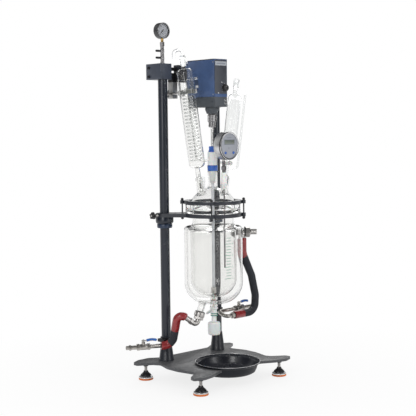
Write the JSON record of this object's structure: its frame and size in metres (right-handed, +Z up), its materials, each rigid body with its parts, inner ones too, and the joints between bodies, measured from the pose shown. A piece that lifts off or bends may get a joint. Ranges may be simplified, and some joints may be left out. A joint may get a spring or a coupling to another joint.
{
  "type": "glass reactor",
  "caption": "Jacketed glass reactor on a two-column stand with stirrer motor, condenser, dropping funnel, dial thermometer, vacuum gauge, drain valve and catch dish.",
  "frame": {"origin": "on the floor under the vessel axis, at the middle of the feet side to side", "axes": "+Z up along the vessel axis, -Y towards the front with the thermometer and the motor panel, +X towards the dropping funnel"},
  "size_m": [0.6296, 0.4084, 1.3804],
  "materials": {
    "satin_slate": "satin",
    "steel": "brushed",
    "chrome": "polished",
    "black_steel": "satin",
    "black_plastic": "matte",
    "glass": "clear",
    "ptfe": "matte",
    "blue_plastic": "gloss",
    "blue_paint": "satin",
    "grey_paint": "satin",
    "foam": "matte",
    "dial_white": "matte",
    "face_grey": "satin",
    "black_enamel": "gloss",
    "red_needle": "matte"
  },
  "bodies": {
    "stand": {"base_plate": "satin_slate", "stand_fasteners": "black_steel", "columns": "satin_slate", "column_sockets": "satin_slate", "top_blocks": "satin_slate", "cross_rods": "black_steel", "support_ring": "satin_slate", "column_collars": "satin_slate", "clamp_ring": "satin_slate", "tie_rods": "black_steel", "vessel_glass": "glass", "flange_gasket": "ptfe", "lid_glass": "glass", "seal_body": "ptfe", "seal_rings": "blue_plastic", "motor_housing": "blue_paint", "motor_gearbox": "grey_paint", "motor_panel": "grey_paint", "motor_bracket": "satin_slate", "thermometer_adapter": "ptfe", "thermometer_stem": "steel", "thermometer_case": "steel", "thermometer_face": "face_grey", "condenser_glass": "glass", "condenser_coil": "glass", "condenser_clamp": "steel", "gas_outlet_bend": "glass", "funnel_glass": "glass", "drain_valve_body": "ptfe", "jacket_unions": "steel", "left_hose": "foam", "right_hose": "foam", "ball_valves": "steel", "hose_clips": "steel", "gauge_case": "black_steel", "gauge_dial": "dial_white", "gauge_window": "glass", "gauge_pipe": "steel"},
    "stirrer": {"chuck": "steel", "stirrer_shaft": "steel", "impeller": "steel"},
    "drain_spindle": {"drain_plug": "steel"},
    "levelling_foot_1": {"levelling_foot_1": "chrome"},
    "levelling_foot_2": {"levelling_foot_2": "chrome"},
    "levelling_foot_3": {"levelling_foot_3": "chrome"},
    "levelling_foot_4": {"levelling_foot_4": "chrome"},
    "speed_knob": {"speed_knob": "black_plastic"},
    "left_star_knob": {"left_star_knob": "black_plastic"},
    "right_star_knob": {"right_star_knob": "black_plastic"},
    "clamp_screw": {"clamp_screw": "steel"},
    "thermometer_button_left": {"thermometer_button_left": "blue_plastic"},
    "thermometer_button_right": {"thermometer_button_right": "blue_plastic"},
    "stopcock_key": {"stopcock_key": "ptfe"},
    "funnel_stopper": {"funnel_stopper": "glass"},
    "spare_neck_stopper": {"spare_neck_stopper": "glass"},
    "drain_handwheel": {"drain_handwheel": "ptfe"},
    "left_valve_lever": {"left_valve_lever": "blue_plastic"},
    "right_valve_lever": {"right_valve_lever": "blue_plastic"},
    "gauge_needle": {"gauge_needle": "red_needle"},
    "catch_dish": {"catch_dish": "black_enamel"}
  },
  "joints": [
    {"name": "foot_1_level", "type": "slide", "parent": "stand", "child": "levelling_foot_1", "axis": [0, 0, 1], "range_m": [-0.01, 0]},
    {"name": "foot_2_level", "type": "slide", "parent": "stand", "child": "levelling_foot_2", "axis": [0, 0, 1], "range_m": [-0.01, 0]},
    {"name": "foot_3_level", "type": "slide", "parent": "stand", "child": "levelling_foot_3", "axis": [0, 0, 1], "range_m": [-0.01, 0]},
    {"name": "foot_4_level", "type": "slide", "parent": "stand", "child": "levelling_foot_4", "axis": [0, 0, 1], "range_m": [-0.01, 0]},
    {"name": "stirrer_spin", "type": "hinge", "parent": "stand", "child": "stirrer", "pos_m": [0, 0, 1], "axis": [0, 0, 1], "continuous": true},
    {"name": "speed_knob_turn", "type": "hinge", "parent": "stand", "child": "speed_knob", "pos_m": [0.018, -0.05, 1.129], "axis": [0, -1, 0], "range_deg": [0, 270]},
    {"name": "left_star_knob_turn", "type": "hinge", "parent": "stand", "child": "left_star_knob", "pos_m": [-0.17, 0.13, 0.643], "axis": [-1, 0, 0], "range_deg": [0, 360]},
    {"name": "right_star_knob_turn", "type": "hinge", "parent": "stand", "child": "right_star_knob", "pos_m": [0.17, 0.13, 0.643], "axis": [1, 0, 0], "range_deg": [0, 360]},
    {"name": "clamp_screw_turn", "type": "hinge", "parent": "stand", "child": "clamp_screw", "pos_m": [-0.06, 0.178, 1.112], "axis": [-1, 0, 0], "range_deg": [0, 360]},
    {"name": "thermometer_button_left_press", "type": "slide", "parent": "stand", "child": "thermometer_button_left", "axis": [-0.0872, 0.9962, 0], "range_m": [0, 0.0012], "stiffness_N_per_m": 900},
    {"name": "thermometer_button_right_press", "type": "slide", "parent": "stand", "child": "thermometer_button_right", "axis": [-0.0872, 0.9962, 0], "range_m": [0, 0.0012], "stiffness_N_per_m": 900},
    {"name": "stopcock_turn", "type": "hinge", "parent": "stand", "child": "stopcock_key", "pos_m": [0.07999, 0, 0.83971], "axis": [0, 1, 0], "range_deg": [-90, 90]},
    {"name": "funnel_stopper_lift", "type": "slide", "parent": "stand", "child": "funnel_stopper", "axis": [0.1599, 0, 0.9871], "range_m": [0, 0.05]},
    {"name": "spare_stopper_lift", "type": "slide", "parent": "stand", "child": "spare_neck_stopper", "axis": [0, 0, 1], "range_m": [0, 0.05]},
    {"name": "drain_plug_drop", "type": "slide", "parent": "stand", "child": "drain_spindle", "axis": [0, 0, -1], "range_m": [0, 0.008]},
    {"name": "drain_wheel_turn", "type": "hinge", "parent": "drain_spindle", "child": "drain_handwheel", "pos_m": [0, 0, 0.2], "axis": [0, 0, 1], "range_deg": [0, 720]},
    {"name": "left_valve_turn", "type": "hinge", "parent": "stand", "child": "left_valve_lever", "pos_m": [-0.25304, 0.12688, 0.165], "axis": [0, 0, 1], "range_deg": [0, 90]},
    {"name": "right_valve_turn", "type": "hinge", "parent": "stand", "child": "right_valve_lever", "pos_m": [0.216, 0.085, 0.261], "axis": [0, 0, 1], "range_deg": [0, 90]},
    {"name": "gauge_needle_swing", "type": "hinge", "parent": "stand", "child": "gauge_needle", "pos_m": [-0.136, 0.13, 1.35], "axis": [0, 1, 0], "range_deg": [0, 270], "stiffness_Nm_per_rad": 0.002},
    {"name": "dish_lift", "type": "slide", "parent": "stand", "child": "catch_dish", "axis": [0, 0, 1], "range_m": [0, 0.06]}
  ],
  "couplings": [
    {"joint": "drain_wheel_turn", "follows": "drain_plug_drop", "rad_per_m": 1570.6}
  ]
}
